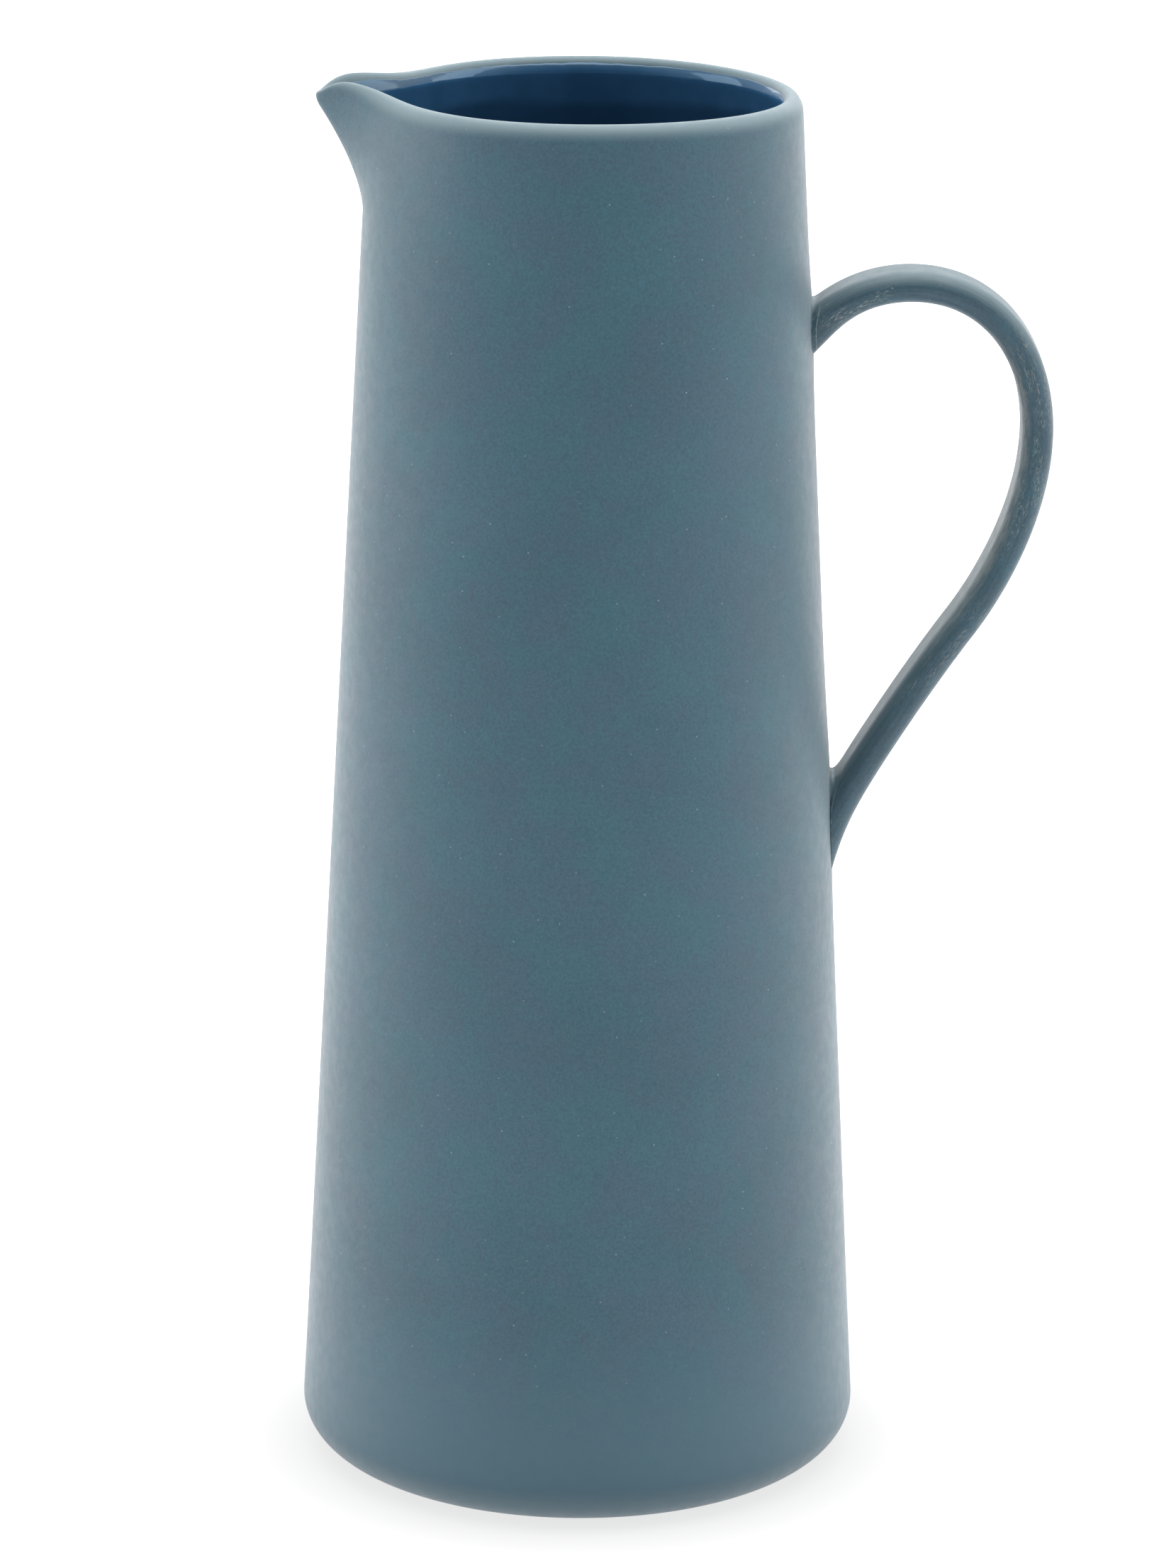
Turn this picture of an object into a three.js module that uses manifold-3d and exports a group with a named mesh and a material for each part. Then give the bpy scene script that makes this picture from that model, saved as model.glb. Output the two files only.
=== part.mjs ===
// A tall slip-cast pitcher: a conical wall that narrows from a round heel to the mouth, a beak
// spout pulled out of the rim on the -X side, and a strap handle luted to the wall on the +X side.
//
// Frame: millimetres, +Z up. The origin is on the wall's axis, on the plane that the foot rests on.
// The part is symmetric about the XZ plane.

import * as THREE from 'three';
import { mergeVertices } from 'three/addons/utils/BufferGeometryUtils.js';
import Module from 'manifold-3d';

// ---- driving dimensions ----

const HEIGHT = 290;              // foot to the crest of the rim, away from the spout
const RIM_RADIUS = 43.9;         // outside of the wall, carried up to the rim's height
const FOOT_RADIUS = 59.0;        // outside of the wall, carried down to the foot's height
const WALL = 4.4;                // thickness of the wall, and width of the round rim
const FLOOR = 6;                 // thickness of the floor
const HEEL = { out: 11.5, up: 10 };        // the heel is a quarter ellipse
const INNER_CORNER = 8;          // radius between the floor and the wall, inside

const GAP = 0.3;                 // clearance between pieces that touch

const SPOUT = {
  reach: 12.1,                   // how far the lip is pulled out
  halfAngle: 11.1,               // degrees round the axis where the pull has fallen to 1/e
  anglePower: 1.5,
  start: 265.4,                  // height where the pull begins
  heightPower: 1.45,
  lift: 2.6,                     // rise of the lip beside the spout
  liftAngle: 18.4,
  droop: 3.2,                    // fall of the very tip below that rise
  droopAngle: 4.5,
};
const FLANK = {
  pinch: 1.1,                    // how far the wall beside the spout is drawn in
  angle: 33,
  spread: 21,
  start: 250,
  heightPower: 1.8,
};

const GLAZE = { thickness: 0.6, gap: 0.4 };

const STRAP = { width: 14, thickness: 6.3, corner: 2.4 };
const HANDLE = {
  root: { x: 45, z: 240.7, rise: 46 },         // midline at the upper root, and its slope in degrees
  crown: { x: 66.8, z: 250.6 },                // highest point of the midline
  outermost: { x: 92.9, z: 220.3 },            // furthest point of the midline
  run: { x: 77.7, z: 179.3, fall: 53.7 },      // where the straight lower run begins
  tail: { x: 46.3, z: 121, fall: 80 },         // inside the wall, below the lower root
};
const HANDLE_PULL = {                          // lengths of the Bezier arms along the midline
  root: 7.6, beforeCrown: 9.6,
  afterCrown: 15.4, aboveOutermost: 17.0,
  belowOutermost: 17.3, beforeRun: 9.1,
  afterRun: 17, tail: 12,
};
const SLIP = { thickness: 1.2, overhang: 0.9 };  // the slip pad, and how far it shows round the strap

const ROUND_SEGMENTS = 64;
const SPOUT_CROWDING = 0.5;      // 0 spaces the round segments evenly, near 1 crowds them at the spout
const SPOUT_BAND = { bottom: 255, top: HEIGHT - WALL / 2 - GAP, rows: 7 };
const HANDLE_STEPS = 44;
const CORNER_STEPS = 2;

// ---- wall and spout formulas ----

const radians = THREE.MathUtils.degToRad;

function wallRadius(z) {
  return THREE.MathUtils.lerp(FOOT_RADIUS, RIM_RADIUS, z / HEIGHT);
}

function climb(z, start, power) {
  const share = Math.max(0, (z - start) / (HEIGHT - start));
  return Math.pow(share, power);
}

function bell(angle, halfAngle, power = 2) {
  return Math.exp(-Math.pow(angle / radians(halfAngle), power));
}

// Moves one point of the round wall to its place on the pulled spout.
function pullSpout(point) {
  const radius = Math.hypot(point.x, point.y);
  if (radius === 0 || point.z < FLANK.start) return point;
  const angle = Math.abs(Math.atan2(point.y, -point.x));      // from the spout's middle
  const out = SPOUT.reach * bell(angle, SPOUT.halfAngle, SPOUT.anglePower)
    * climb(point.z, SPOUT.start, SPOUT.heightPower);
  const inward = FLANK.pinch * bell(angle - radians(FLANK.angle), FLANK.spread)
    * climb(point.z, FLANK.start, FLANK.heightPower);
  const up = (SPOUT.lift * bell(angle, SPOUT.liftAngle) - SPOUT.droop * bell(angle, SPOUT.droopAngle))
    * climb(point.z, SPOUT.start, 2);
  const shrink = 1 - inward / radius;
  return point.set(point.x * shrink - out, point.y * shrink, point.z + up);
}

// ---- geometry helpers ----

const wasm = await Module();
wasm.setup();

function toSolid(geometry) {
  const bare = geometry.index ? geometry.toNonIndexed() : geometry.clone();
  bare.deleteAttribute('normal');
  bare.deleteAttribute('uv');
  const merged = mergeVertices(bare, 1e-4);
  return new wasm.Manifold(new wasm.Mesh({
    numProp: 3,
    vertProperties: new Float32Array(merged.attributes.position.array),
    triVerts: new Uint32Array(merged.index.array),
  }));
}

function toGeometry(solid) {
  const mesh = solid.getMesh();
  const geometry = new THREE.BufferGeometry();
  geometry.setAttribute('position', new THREE.BufferAttribute(new Float32Array(mesh.vertProperties), 3));
  geometry.setIndex(new THREE.BufferAttribute(new Uint32Array(mesh.triVerts), 1));
  geometry.computeVertexNormals();
  return geometry;
}

// An arc of an ellipse in the profile's plane (x = radius, y = height).
function arc(x, z, halfX, halfZ, fromDegrees, toDegrees, steps) {
  const points = [];
  for (let i = 0; i <= steps; i++) {
    const angle = radians(THREE.MathUtils.lerp(fromDegrees, toDegrees, i / steps));
    points.push(new THREE.Vector2(x + halfX * Math.cos(angle), z + halfZ * Math.sin(angle)));
  }
  return points;
}

// The slanted line of the wall, set in by inset, at each of the heights.
function wallLine(inset, heights) {
  return heights.map((z) => new THREE.Vector2(wallRadius(z) - inset, z));
}

// Heights of the rows of points up the wall: few on the plain cone, more where the spout is pulled.
function wallHeights(bottom) {
  const heights = [bottom, (bottom + SPOUT_BAND.bottom) / 2];
  for (let i = 0; i <= SPOUT_BAND.rows; i++) {
    heights.push(THREE.MathUtils.lerp(SPOUT_BAND.bottom, SPOUT_BAND.top, i / SPOUT_BAND.rows));
  }
  return heights;
}

// Shifts a point round the axis, so that the turned segments are closer together at the spout.
function crowdToSpout(point) {
  const radius = Math.hypot(point.x, point.y);
  const even = Math.atan2(point.y, -point.x);
  const angle = even - SPOUT_CROWDING * Math.sin(even);
  return point.set(-radius * Math.cos(angle), radius * Math.sin(angle), point.z);
}

// Turns a profile round the Z axis, and drops points that repeat the one before.
function turned(profile) {
  const points = profile.filter((p, i) => i === 0 || p.distanceTo(profile[i - 1]) > 1e-3);
  const geometry = new THREE.LatheGeometry(points, ROUND_SEGMENTS).rotateX(Math.PI / 2);
  return displaced(geometry, crowdToSpout);
}

function displaced(geometry, move) {
  const position = geometry.attributes.position;
  const point = new THREE.Vector3();
  for (let i = 0; i < position.count; i++) {
    point.fromBufferAttribute(position, i);
    move(point);
    position.setXYZ(i, point.x, point.y, point.z);
  }
  return geometry;
}

function withFacesOut(geometry) {
  const solid = toSolid(geometry);
  return toGeometry(solid);
}

// ---- body: wall, floor, rim and spout in one casting ----

function heelArc() {
  const wallFoot = wallRadius(HEEL.up);
  return arc(wallFoot - HEEL.out, HEEL.up, HEEL.out, HEEL.up, -90, 0, 6);
}

function innerCornerArc(inset, floor, radius, steps) {
  const centreZ = floor + radius;
  const centreX = wallRadius(centreZ) - inset - radius;
  return arc(centreX, centreZ, radius, radius, 0, -90, steps);
}

function bodyGeometry() {
  const rimRadius = WALL / 2;
  const rimCentre = new THREE.Vector2(RIM_RADIUS - rimRadius, HEIGHT - rimRadius);
  const profile = [
    new THREE.Vector2(0, 0),
    ...heelArc(),
    ...wallLine(0, wallHeights(HEEL.up)),
    ...arc(rimCentre.x, rimCentre.y, rimRadius, rimRadius, 0, 180, 6),
    ...wallLine(WALL, wallHeights(FLOOR + INNER_CORNER).reverse()),
    ...innerCornerArc(WALL, FLOOR, INNER_CORNER, 3),
    new THREE.Vector2(0, FLOOR),
  ];
  return withFacesOut(displaced(turned(profile), pullSpout));
}

// ---- interior glaze: a thin glass liner that stops just below the rim ----

function glazeGeometry() {
  const outerInset = WALL + GLAZE.gap;
  const innerInset = outerInset + GLAZE.thickness;
  const bottom = FLOOR + GLAZE.gap;
  const top = bottom + GLAZE.thickness;
  const profile = [
    new THREE.Vector2(0, bottom),
    ...innerCornerArc(outerInset, bottom, INNER_CORNER, 3).reverse(),
    ...wallLine(outerInset, wallHeights(bottom + INNER_CORNER)),
    ...wallLine(innerInset, wallHeights(top + INNER_CORNER).reverse()),
    ...innerCornerArc(innerInset, top, INNER_CORNER, 3),
    new THREE.Vector2(0, top),
  ];
  return withFacesOut(displaced(turned(profile), pullSpout));
}

// ---- handle: one strap along a planar midline ----

function midlinePoint(place, distance = 0, degrees = 0) {
  const angle = radians(degrees);
  return new THREE.Vector3(place.x + distance * Math.cos(angle), 0, place.z + distance * Math.sin(angle));
}

function handleMidline() {
  const { root, crown, outermost, run, tail } = HANDLE;
  const arm = HANDLE_PULL;
  const path = new THREE.CurvePath();
  path.add(new THREE.CubicBezierCurve3(
    midlinePoint(root), midlinePoint(root, arm.root, root.rise),
    midlinePoint(crown, arm.beforeCrown, 180), midlinePoint(crown)));
  path.add(new THREE.CubicBezierCurve3(
    midlinePoint(crown), midlinePoint(crown, arm.afterCrown, 0),
    midlinePoint(outermost, arm.aboveOutermost, 90), midlinePoint(outermost)));
  path.add(new THREE.CubicBezierCurve3(
    midlinePoint(outermost), midlinePoint(outermost, arm.belowOutermost, -90),
    midlinePoint(run, arm.beforeRun, run.fall), midlinePoint(run)));
  path.add(new THREE.CubicBezierCurve3(
    midlinePoint(run), midlinePoint(run, arm.afterRun, run.fall + 180),
    midlinePoint(tail, arm.tail, tail.fall), midlinePoint(tail)));
  return path;
}

// A rounded rectangle, width along the shape's x axis, grown by extra all round.
function strapShape(extra) {
  const halfWidth = STRAP.width / 2 + extra;
  const halfThickness = STRAP.thickness / 2 + extra;
  const corner = STRAP.corner + extra;
  const centres = [[1, 1], [-1, 1], [-1, -1], [1, -1]];
  const points = [];
  centres.forEach(([sideX, sideY], quarter) => {
    const centreX = sideX * (halfWidth - corner);
    const centreY = sideY * (halfThickness - corner);
    points.push(...arc(centreX, centreY, corner, corner, quarter * 90, quarter * 90 + 90, CORNER_STEPS));
  });
  return new THREE.Shape(points);
}

function strapSolid(extra) {
  const geometry = new THREE.ExtrudeGeometry(strapShape(extra), {
    steps: HANDLE_STEPS,
    extrudePath: handleMidline(),
    bevelEnabled: false,
  });
  return toSolid(geometry);
}

// A solid cone whose side lies outside the wall by offset.
function coneSolid(offset) {
  return toSolid(turned([
    new THREE.Vector2(0, 0),
    new THREE.Vector2(wallRadius(0) + offset, 0),
    new THREE.Vector2(wallRadius(HEIGHT) + offset, HEIGHT),
    new THREE.Vector2(0, HEIGHT),
  ]));
}

function handleGeometry() {
  const insideSlip = coneSolid(GAP + SLIP.thickness + GAP);
  return toGeometry(strapSolid(0).subtract(insideSlip));
}

// ---- luting slip: a thin pad between each end of the strap and the wall ----

function slipGeometry(isUpper) {
  const pads = strapSolid(SLIP.overhang)
    .intersect(coneSolid(GAP + SLIP.thickness))
    .subtract(coneSolid(GAP));
  const pieces = pads.decompose();
  pieces.sort((a, b) => b.boundingBox().max[2] - a.boundingBox().max[2]);
  return toGeometry(isUpper ? pieces[0] : pieces[pieces.length - 1]);
}

// ---- assembly ----

const clay = { color: 0x56717f, roughness: 0.85, metalness: 0 };
const paleSlip = { color: 0x7f969f, roughness: 0.85, metalness: 0 };
const navyGlaze = { color: 0x14304c, roughness: 0.12, metalness: 0 };

function piece(name, geometry, finish) {
  const mesh = new THREE.Mesh(geometry, new THREE.MeshStandardMaterial(finish));
  mesh.name = name;
  return mesh;
}

const pitcher = new THREE.Group();
pitcher.add(piece('body', bodyGeometry(), clay));
pitcher.add(piece('interior_glaze', glazeGeometry(), navyGlaze));
pitcher.add(piece('handle', handleGeometry(), clay));
pitcher.add(piece('handle_upper_slip_joint', slipGeometry(true), paleSlip));
pitcher.add(piece('handle_lower_slip_joint', slipGeometry(false), paleSlip));

export default pitcher;
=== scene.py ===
"""A ceramic pitcher: matte slate-blue clay, a glossy navy glaze inside, and one luted strap handle.

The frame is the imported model's: +Z up, the pitcher's axis on the Z axis, the spout at -X and the
handle at +X. Shapes are worked out in millimetres and turned into scene units by MM.
"""

import math

import bmesh
import bpy
import numpy as np
from mathutils import Matrix, Vector


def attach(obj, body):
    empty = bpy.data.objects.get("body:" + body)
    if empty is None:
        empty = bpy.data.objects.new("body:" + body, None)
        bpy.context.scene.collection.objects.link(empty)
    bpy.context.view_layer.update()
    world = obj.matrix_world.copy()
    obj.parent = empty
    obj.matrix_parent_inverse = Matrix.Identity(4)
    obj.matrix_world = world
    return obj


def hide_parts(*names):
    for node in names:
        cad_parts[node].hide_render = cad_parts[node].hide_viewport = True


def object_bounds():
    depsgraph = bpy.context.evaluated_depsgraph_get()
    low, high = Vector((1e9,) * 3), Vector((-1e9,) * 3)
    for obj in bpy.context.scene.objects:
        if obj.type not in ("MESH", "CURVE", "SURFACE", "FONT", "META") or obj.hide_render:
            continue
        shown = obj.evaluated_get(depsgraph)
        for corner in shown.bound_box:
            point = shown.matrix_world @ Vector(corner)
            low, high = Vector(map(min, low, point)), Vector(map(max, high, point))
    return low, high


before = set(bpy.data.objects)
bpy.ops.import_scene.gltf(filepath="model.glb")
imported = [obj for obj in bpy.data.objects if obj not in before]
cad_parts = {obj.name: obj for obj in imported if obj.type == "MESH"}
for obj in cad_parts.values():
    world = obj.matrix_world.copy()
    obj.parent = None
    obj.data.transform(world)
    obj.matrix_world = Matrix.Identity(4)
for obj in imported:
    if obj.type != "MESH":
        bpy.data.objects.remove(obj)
cad_low, cad_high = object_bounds()

# ---- driving dimensions, in millimetres and degrees ----

CAD_HEIGHT = 292.0            # foot to the highest point of the spout's lip
MM = (cad_high.z - cad_low.z) / CAD_HEIGHT

HEIGHT = 290.0                # foot to the crest of the rim, away from the spout
RIM_RADIUS = 43.9
FOOT_RADIUS = 59.0
WALL = 4.4
FLOOR = 6.0
INNER_CORNER = 8.0
HEEL_OUT, HEEL_UP = 11.5, 10.0
CREST_OUT, CREST_OUT_DROP = 2.5, 3.9    # quarter ellipse of the rim's rounding on the outside
CREST_IN_DROP = 3.4           # and how far it goes down on the inside
RIM_DIP = 0.6                 # the rim sits lower over the handle

# The spout: reach is the pull outwards, lift the rise beside the tip and droop the fall of the tip.
# Each angle is the one from the spout's middle at which that shape has faded to 1/e.
SPOUT = dict(reach=12.1, half_angle=11.1, angle_power=1.5, start=265.4, height_power=1.45,
             lift=2.6, lift_angle=18.4, droop=3.2, droop_angle=4.5)
FLANK = dict(pinch=1.1, angle=33, spread=21, start=250, height_power=1.8)

GLAZE_THICKNESS = 0.35
GLAZE_RAMP = 2.3              # length over which the glaze thins out to its edge
GLAZE_EDGE_ANGLE = 40         # how far up the inner rounding of the rim the glaze reaches
GLAZE_RAGGED = 4.0            # and how far that edge wanders, in degrees
GLAZE_SUNK = 0.02             # depth of the glaze's very edge in the clay
GLAZE_BACK = 0.25             # depth of the glaze's hidden side in the clay

STRAP_WIDTH = 14.1
STRAP_THICK_TOP, STRAP_THICK_FOOT = 6.35, 6.6
STRAP_THICK = (STRAP_THICK_TOP + STRAP_THICK_FOOT) / 2
STRAP_CORNER = 3.4, 3.05      # the rounding of the strap's edges, across its width and through it
ROOT_FLARE = dict(thick=1.0, length=9.0)      # the strap thickens on its inner side at the upper root
FOOT_FLARE = dict(thick=1.7, length=12.0)     # and on its outer side at the lower root
ROOT_BULGES = [dict(z=243, rise=0.35, spread=11), dict(z=146, rise=0.45, spread=19)]
# The strap's midline in the XZ plane, as cubic arcs: each has a start, the direction and the arm's
# length there, and then the same three for its end.
MIDLINE = [
    dict(start=(44.98, 240.71), leave=46.4, arm=7.6, end=(66.81, 250.64), arrive=0, end_arm=9.6),
    dict(start=(66.81, 250.64), leave=0, arm=15.9, end=(92.90, 220.31), arrive=-90, end_arm=17.5),
    dict(start=(92.90, 220.31), leave=-90, arm=17.3, end=(77.88, 179.20), arrive=-126.3, end_arm=9.1),
    dict(start=(77.88, 179.20), leave=-126.3, arm=15.1, end=(47.08, 125.71), arrive=-96, end_arm=8.7),
]


# ---- formulas of the wall and the spout ----

def wall_radius(z):
    return FOOT_RADIUS + (RIM_RADIUS - FOOT_RADIUS) * z / HEIGHT


def climb(z, start, power):
    return np.clip((z - start) / (HEIGHT - start), 0, None) ** power


def bell(angle, half_angle, power=2):
    return np.exp(-np.abs(angle / np.radians(half_angle)) ** power)


def pull_spout(points):
    """Moves points of the round wall to their places on the pulled spout."""
    x, y, z = np.moveaxis(points, -1, 0)
    radius = np.maximum(np.hypot(x, y), 1e-6)
    angle = np.abs(np.arctan2(y, -x))
    out = (SPOUT["reach"] * bell(angle, SPOUT["half_angle"], SPOUT["angle_power"])
           * climb(z, SPOUT["start"], SPOUT["height_power"]))
    inward = (FLANK["pinch"] * bell(angle - np.radians(FLANK["angle"]), FLANK["spread"])
              * climb(z, FLANK["start"], FLANK["height_power"]))
    up = ((SPOUT["lift"] * bell(angle, SPOUT["lift_angle"])
           - SPOUT["droop"] * bell(angle, SPOUT["droop_angle"])) * climb(z, SPOUT["start"], 2))
    dip = RIM_DIP * np.clip(x / radius, 0, 1) ** 2 * climb(z, FLANK["start"], 1)
    shrink = 1 - inward / radius
    return np.stack([x * shrink - out, y * shrink, z + up - dip], axis=-1)


def bulge_at_roots(points):
    """Moves the wall out a little where the strap was pressed on."""
    x, y, z = np.moveaxis(points, -1, 0)
    radius = np.maximum(np.hypot(x, y), 1e-6)
    rise = np.zeros_like(radius)
    for root in ROOT_BULGES:
        away = (y ** 2 + (z - root["z"]) ** 2) / root["spread"] ** 2
        rise += root["rise"] * np.exp(-away) * (x > 0)
    scale = 1 + rise / radius
    return np.stack([x * scale, y * scale, z], axis=-1)


# ---- mesh helpers ----

def arc(centre, half_x, half_z, start, end, count):
    """Points (radius, height) on an ellipse's arc, both ends included."""
    angles = np.radians(np.linspace(start, end, count))
    return np.stack([centre[0] + half_x * np.cos(angles), centre[1] + half_z * np.sin(angles)], axis=-1)


def columns(count, crowding=0.5):
    """Angles round the axis from the spout, closer together near it."""
    even = np.linspace(-math.pi, math.pi, count, endpoint=False)
    return even - crowding * np.sin(even)


def turned(profile, angles):
    """Turns a profile (rows of radius, height; or one profile for each angle) round the axis."""
    radius, height = profile[..., 0], profile[..., 1]
    if radius.ndim == 1:
        radius = np.repeat(radius[:, None], len(angles), axis=1)
        height = np.repeat(height[:, None], len(angles), axis=1)
    return np.stack([-radius * np.cos(angles), radius * np.sin(angles), height], axis=-1)


def skin(name, rings, close_rings=False, cap_ends=False):
    """A smooth mesh through a grid of rings, each a closed loop of points in millimetres."""
    ring_count, size = rings.shape[:2]
    points = rings.reshape(-1, 3)
    faces = []
    last = ring_count if close_rings else ring_count - 1
    for ring in range(last):
        here, there = ring * size, (ring + 1) % ring_count * size
        for i in range(size):
            j = (i + 1) % size
            faces.append((here + i, here + j, there + j, there + i))
    if cap_ends:
        centres = np.array([rings[0].mean(axis=0), rings[-1].mean(axis=0)])
        points = np.concatenate([points, centres])
        first_centre, last_centre = len(points) - 2, len(points) - 1
        start = (ring_count - 1) * size
        for i in range(size):
            j = (i + 1) % size
            faces.append((first_centre, j, i))
            faces.append((last_centre, start + i, start + j))
    mesh = bpy.data.meshes.new(name)
    mesh.from_pydata((points * MM).tolist(), [], faces)
    mesh.validate()
    mesh.shade_smooth()
    piece = bpy.data.objects.new(name, mesh)
    bpy.context.scene.collection.objects.link(piece)
    return piece


def face_outwards(piece):
    """Turns every face of a closed mesh to the outside."""
    loose = bmesh.new()
    loose.from_mesh(piece.data)
    bmesh.ops.recalc_face_normals(loose, faces=loose.faces)
    if loose.calc_volume(signed=True) < 0:
        bmesh.ops.reverse_faces(loose, faces=loose.faces)
    loose.to_mesh(piece.data)
    loose.free()
    return piece


# ---- the body: one casting, with its rim and spout ----

BODY_COLUMNS = 360
OUTER_RINGS, INNER_RINGS = 80, 30       # rings up the plain part of the wall, outside and inside
SPOUT_RINGS = 40              # rings up the part from which the spout is pulled
FLAT_RINGS = 8                # rings on the floor, and as many on the underside
MIDDLE_RADIUS = 2.0           # radius of the smallest ring, where the cap closes the skin


def wall_heights(bottom, top, plain_rings):
    """Heights up the wall, closer together where the spout is pulled."""
    plain = np.linspace(bottom, FLANK["start"], plain_rings)
    return np.concatenate([plain[:-1], np.linspace(FLANK["start"], top, SPOUT_RINGS)])


def flat_rings(outer_radius, height):
    """Rings of a flat disc, from its middle outwards, without the outermost one."""
    radius = np.linspace(MIDDLE_RADIUS, outer_radius, FLAT_RINGS + 1)[:-1]
    return np.stack([radius, np.full(FLAT_RINGS, height)], axis=-1)


# The rim's outer rounding leaves the wall where the two have the same slope.
TAPER = (FOOT_RADIUS - RIM_RADIUS) / HEIGHT
CREST_START = math.degrees(math.atan(TAPER * CREST_OUT_DROP / CREST_OUT))
WALL_TOP = HEIGHT - CREST_OUT_DROP * (1 - math.sin(math.radians(CREST_START)))
CREST_RADIUS = wall_radius(WALL_TOP) - CREST_OUT * math.cos(math.radians(CREST_START))
CREST_IN = CREST_RADIUS - (wall_radius(HEIGHT - CREST_IN_DROP) - WALL)


def crest_arc(outside, start, end, count):
    """Part of the rim's rounding; 0 degrees is the outer side, 90 the crest and 180 the inner side."""
    half, drop = (CREST_OUT, CREST_OUT_DROP) if outside else (CREST_IN, CREST_IN_DROP)
    return arc((CREST_RADIUS, HEIGHT - drop), half, drop, start, end, count)


def inner_profile():
    """The inner wall from below the rim's rounding, the corner and the floor."""
    height = wall_heights(FLOOR + INNER_CORNER, HEIGHT - CREST_IN_DROP, INNER_RINGS)[-2::-1]
    wall = np.stack([wall_radius(height) - WALL, height], axis=-1)
    corner_centre = (wall[-1][0] - INNER_CORNER, FLOOR + INNER_CORNER)
    corner = arc(corner_centre, INNER_CORNER, INNER_CORNER, 0, -90, 12)[1:]
    return np.concatenate([wall, corner, flat_rings(corner[-1][0], FLOOR)[::-1]])


def body_profile():
    heel = arc((wall_radius(HEEL_UP) - HEEL_OUT, HEEL_UP), HEEL_OUT, HEEL_UP, -90, 0, 24)
    outer_z = wall_heights(HEEL_UP, WALL_TOP, OUTER_RINGS)[1:]
    outer = np.stack([wall_radius(outer_z), outer_z], axis=-1)
    crest_out = crest_arc(True, CREST_START, 90, 14)[1:]
    crest_in = crest_arc(False, 90, 180, 16)[1:]
    return np.concatenate([flat_rings(heel[0][0], 0), heel, outer, crest_out, crest_in, inner_profile()])


def make_body():
    points = bulge_at_roots(pull_spout(turned(body_profile(), columns(BODY_COLUMNS))))
    return face_outwards(skin("pitcher_body", points, cap_ends=True))


# ---- the glaze: a thin glass coat inside, with a ragged upper edge ----

def ragged(angles, seed):
    """A rough line round the axis, about -1 to 1."""
    random = np.random.default_rng(seed)
    line = np.zeros_like(angles)
    waves_and_heights = ((3, 0.3), (7, 0.25), (13, 0.25), (29, 0.2), (53, 0.2), (97, 0.15))
    for waves, height in waves_and_heights:
        line += height * np.sin(waves * angles + random.uniform(0, 2 * math.pi))
    return line


def glaze_path(edge_degrees):
    """The glazed inner line, from the glaze's edge on the rim down to the middle of the floor."""
    return np.concatenate([crest_arc(False, 180 - edge_degrees, 180, 14), inner_profile()])


def offset_inwards(path, thickness):
    """Moves a path off the clay by a thickness that may change along it."""
    along = np.gradient(path, axis=0)
    along /= np.linalg.norm(along, axis=1, keepdims=True)
    off = np.stack([along[:, 1], -along[:, 0]], axis=-1)
    return path + off * thickness[:, None]


def make_glaze():
    angles = columns(BODY_COLUMNS)
    edges = GLAZE_EDGE_ANGLE + GLAZE_RAGGED * ragged(angles, seed=4)
    fronts, backs = [], []
    for edge in edges:
        path = glaze_path(edge)
        run = np.concatenate([[0], np.cumsum(np.linalg.norm(np.diff(path, axis=0), axis=1))])
        ramp = np.clip(run / GLAZE_RAMP, 0, 1)
        thickness = GLAZE_THICKNESS * ramp * (2 - ramp) - GLAZE_SUNK
        fronts.append(offset_inwards(path, thickness))
        backs.append(offset_inwards(path, np.full(len(path), -GLAZE_BACK)))
    profile = np.concatenate([np.array(backs)[:, ::-1], np.array(fronts)], axis=1).transpose(1, 0, 2)
    points = pull_spout(turned(profile, angles))
    return face_outwards(skin("glaze_lining", points, cap_ends=True))


# ---- the strap handle ----

STRAP_ROWS = 260
MIDLINE_STEPS = 160           # points on each arc of the midline
OVERRUN = 14.0                # the midline runs on straight past both ends by this length
SEARCH = 40.0                 # the strap meets the wall within this length of its ends
SEARCH_STEPS = 800
CORNER_POINTS = 11            # points on each rounded edge of the section
ACROSS_POINTS, THROUGH_POINTS = 10, 4       # points on its wide and its narrow flats


def direction(degrees):
    return np.array([math.cos(math.radians(degrees)), math.sin(math.radians(degrees))])


def midline_points():
    spans = []
    t = np.linspace(0, 1, MIDLINE_STEPS)[:, None]
    for span in MIDLINE:
        start, end = np.array(span["start"]), np.array(span["end"])
        after = start + span["arm"] * direction(span["leave"])
        before = end - span["end_arm"] * direction(span["arrive"])
        spans.append((1 - t) ** 3 * start + 3 * (1 - t) ** 2 * t * after
                     + 3 * (1 - t) * t ** 2 * before + t ** 3 * end)
    points = np.concatenate([span[:-1] for span in spans] + [spans[-1][-1:]])
    first = points[0] - OVERRUN * direction(MIDLINE[0]["leave"])
    last = points[-1] + OVERRUN * direction(MIDLINE[-1]["arrive"])
    return np.concatenate([[first], points, [last]])


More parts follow.
